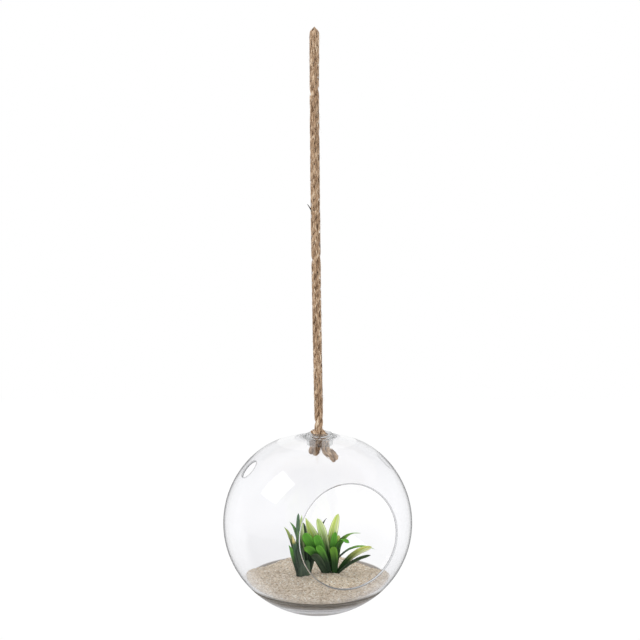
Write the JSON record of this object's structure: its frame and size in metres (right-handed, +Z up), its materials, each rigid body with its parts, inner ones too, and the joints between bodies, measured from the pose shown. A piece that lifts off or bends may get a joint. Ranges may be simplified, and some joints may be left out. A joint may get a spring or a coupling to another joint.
{
  "type": "hanging globe vase",
  "caption": "Clear glass globe vase with a large front opening, hung from its neck on a knotted twisted rope, filled with sand and two small artificial plants.",
  "frame": {"origin": "where a hook bears inside the rope's hanging eye", "axes": "+Z up, away from the globe; the front opening faces -Y, turned 22 degrees towards +X"},
  "size_m": [0.2, 0.1983, 0.6093],
  "materials": {
    "jute_rope": "coarse twisted natural fibre",
    "clear_glass": "clear, fire polished",
    "sand": "loose dry grains",
    "leaf": "soft moulded leaf, satin"
  },
  "bodies": {
    "hanging_eye": {"rope_eye": "jute_rope"},
    "throat": {"rope_throat": "jute_rope"},
    "rope": {"rope_run": "jute_rope"},
    "neck": {"rope_neck": "jute_rope"},
    "knot": {"rope_knot": "jute_rope"},
    "globe": {"glass_globe": "clear_glass", "sand_bed": "sand", "left_plant": "leaf", "right_plant": "leaf"}
  },
  "joints": [
    {"name": "sway_side", "type": "hinge", "parent": "hanging_eye", "child": "throat", "pos_m": [0, 0, -0.048], "axis": [0, 1, 0], "range_deg": [-30, 30]},
    {"name": "sway_front", "type": "hinge", "parent": "throat", "child": "rope", "pos_m": [0, 0, -0.06], "axis": [1, 0, 0], "range_deg": [-30, 30]},
    {"name": "tilt_side", "type": "hinge", "parent": "rope", "child": "neck", "pos_m": [0.0044, -0.003, -0.39198], "axis": [0, 1, 0], "range_deg": [-20, 20]},
    {"name": "tilt_front", "type": "hinge", "parent": "neck", "child": "knot", "pos_m": [0.0044, -0.003, -0.40398], "axis": [1, 0, 0], "range_deg": [-20, 20]},
    {"name": "globe_turn", "type": "hinge", "parent": "knot", "child": "globe", "pos_m": [0.0056, -0.003, -0.411], "axis": [0, 0, 1], "continuous": true}
  ]
}
